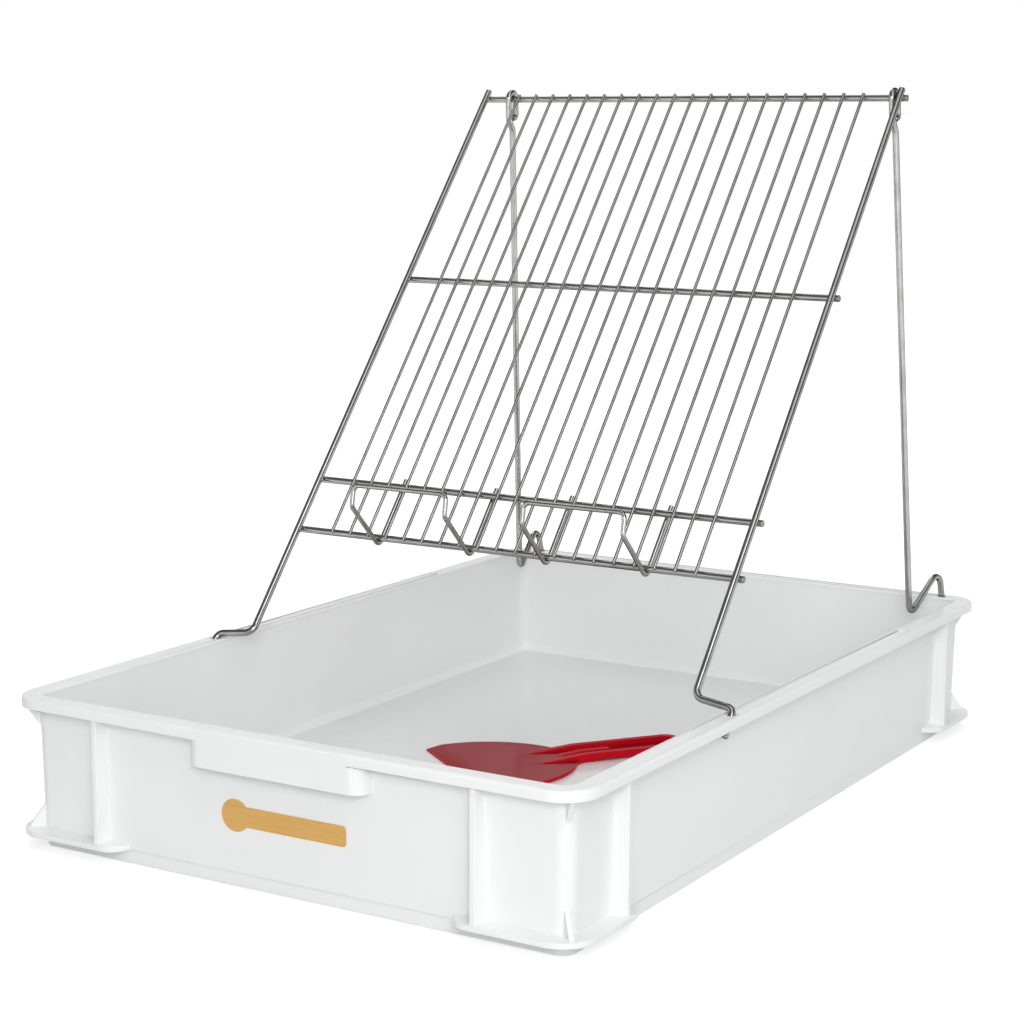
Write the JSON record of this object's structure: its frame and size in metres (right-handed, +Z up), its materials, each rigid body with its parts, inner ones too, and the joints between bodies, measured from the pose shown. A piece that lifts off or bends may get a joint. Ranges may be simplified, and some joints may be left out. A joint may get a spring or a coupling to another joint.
{
  "type": "uncapping tray",
  "caption": "Shallow stackable tray with a sloping wire rack plugged into its rim, hooks that hold a comb frame, hinged wire props behind the rack and a loose plastic scraper.",
  "frame": {"origin": "middle of the tray's base, on the ground", "axes": "+X across the tray to the right, +Y along the tray to the back, +Z up"},
  "size_m": [0.4, 0.6, 0.4651],
  "materials": {
    "tray_plastic": "white moulded polyethylene, satin gloss",
    "stainless_wire": "bright drawn stainless wire",
    "scraper_plastic": "red moulded plastic, glossy",
    "label_plate": "plain gold-coloured foil plate"
  },
  "bodies": {
    "tray": {"tray": "tray_plastic"},
    "rack": {"side_rod_left": "stainless_wire", "side_rod_right": "stainless_wire", "cross_bar_bottom": "stainless_wire", "cross_bar_lower": "stainless_wire", "cross_bar_upper": "stainless_wire", "cross_bar_top": "stainless_wire", "grid_wire_01": "stainless_wire", "grid_wire_02": "stainless_wire", "grid_wire_03": "stainless_wire", "grid_wire_04": "stainless_wire", "grid_wire_05": "stainless_wire", "grid_wire_06": "stainless_wire", "grid_wire_07": "stainless_wire", "grid_wire_08": "stainless_wire", "grid_wire_09": "stainless_wire", "grid_wire_10": "stainless_wire", "grid_wire_11": "stainless_wire", "grid_wire_12": "stainless_wire", "grid_wire_13": "stainless_wire", "grid_wire_14": "stainless_wire", "grid_wire_15": "stainless_wire", "grid_wire_16": "stainless_wire", "grid_wire_17": "stainless_wire", "grid_wire_18": "stainless_wire", "grid_wire_19": "stainless_wire", "grid_wire_20": "stainless_wire", "frame_hook_left": "stainless_wire", "frame_hook_right": "stainless_wire"},
    "prop_left": {"prop_left": "stainless_wire"},
    "prop_right": {"prop_right": "stainless_wire"},
    "scraper": {"scraper": "scraper_plastic"}
  },
  "joints": [
    {"name": "rack_lift", "type": "slide", "parent": "tray", "child": "rack", "axis": [0, 0.6374, 0.7705], "range_m": [0, 0.33]},
    {"name": "prop_left_swing", "type": "hinge", "parent": "rack", "child": "prop_left", "pos_m": [-0.146, 0.19999, 0.45745], "axis": [1, 0, 0], "range_deg": [-43, 0]},
    {"name": "prop_right_swing", "type": "hinge", "parent": "rack", "child": "prop_right", "pos_m": [0.1605, 0.19999, 0.45745], "axis": [1, 0, 0], "range_deg": [-43, 0]},
    {"name": "scraper_lift", "type": "slide", "parent": "tray", "child": "scraper", "axis": [0, -0.6, 0.8], "range_m": [0, 0.15]}
  ],
  "couplings": [
    {"joint": "prop_left_swing", "follows": "rack_lift", "rad_per_m": -2.2615},
    {"joint": "prop_right_swing", "follows": "rack_lift", "rad_per_m": -2.2615}
  ]
}
